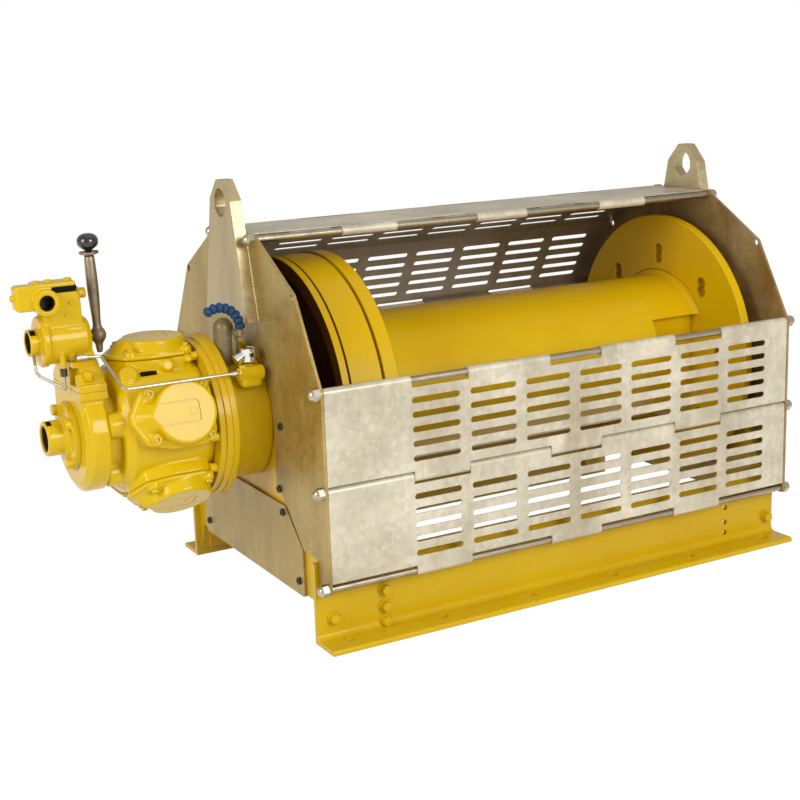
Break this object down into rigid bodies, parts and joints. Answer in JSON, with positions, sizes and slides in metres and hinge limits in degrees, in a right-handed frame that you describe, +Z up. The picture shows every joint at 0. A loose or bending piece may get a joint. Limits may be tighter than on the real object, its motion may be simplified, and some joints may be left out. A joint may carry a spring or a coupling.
{
  "type": "air winch",
  "caption": "Air powered winch with a wide smooth drum in a hinged slotted guard, a radial piston motor, a lever control valve and bolt-down base rails.",
  "frame": {"origin": "on the floor, midway between the four corner bolt holes of the base rails", "axes": "+X along the drum from the motor end to the bearing end, +Y from the rope side to the rear, +Z up"},
  "size_m": [1.646, 0.7704, 0.876],
  "materials": {
    "yellow_paint": "gloss",
    "galvanised": "satin",
    "rod_steel": "satin",
    "bright_metal": "polished",
    "forged_steel": "satin",
    "black_plastic": "gloss",
    "blue_plastic": "satin"
  },
  "bodies": {
    "frame": {"front_lower_guard": "galvanised", "front_upper_guard": "galvanised", "top_guard": "galvanised", "rear_upper_guard": "galvanised", "rear_middle_guard": "galvanised", "rear_lower_guard": "galvanised", "guard_rods": "rod_steel", "rod_cap_nuts": "bright_metal", "right_guard_plate": "galvanised", "left_guard_plate": "galvanised", "right_lifting_lug": "galvanised", "left_lifting_lug": "galvanised", "front_base_rail": "yellow_paint", "rear_base_rail": "yellow_paint", "left_upright": "yellow_paint", "right_upright": "yellow_paint", "lower_cover": "galvanised", "brake_band": "yellow_paint", "band_anchor": "yellow_paint", "gear_case": "yellow_paint", "bearing_housing": "yellow_paint", "motor_flange": "yellow_paint", "motor_case": "yellow_paint", "cylinder_heads": "yellow_paint", "distributor_housing": "yellow_paint", "exhaust_port": "yellow_paint", "valve_riser": "yellow_paint", "control_valve": "yellow_paint", "pilot_line": "rod_steel", "bleed_line": "rod_steel", "brake_block": "yellow_paint", "brake_gauge": "bright_metal", "breather_cap": "forged_steel", "vent_hose": "blue_plastic"},
    "drum": {"drum_barrel": "yellow_paint", "drum_right_flange": "yellow_paint", "drum_left_flange": "yellow_paint", "brake_drum": "yellow_paint"},
    "lever": {"lever_arm": "forged_steel", "lever_collar": "forged_steel", "lever_knob": "black_plastic"}
  },
  "joints": [
    {"name": "drum_spin", "type": "hinge", "parent": "frame", "child": "drum", "pos_m": [0, 0, 0.4087], "axis": [1, 0, 0], "continuous": true},
    {"name": "lever_swing", "type": "hinge", "parent": "frame", "child": "lever", "pos_m": [-0.867, 0, 0.598], "axis": [1, 0, 0], "range_deg": [-30, 30], "stiffness_Nm_per_rad": 4}
  ]
}
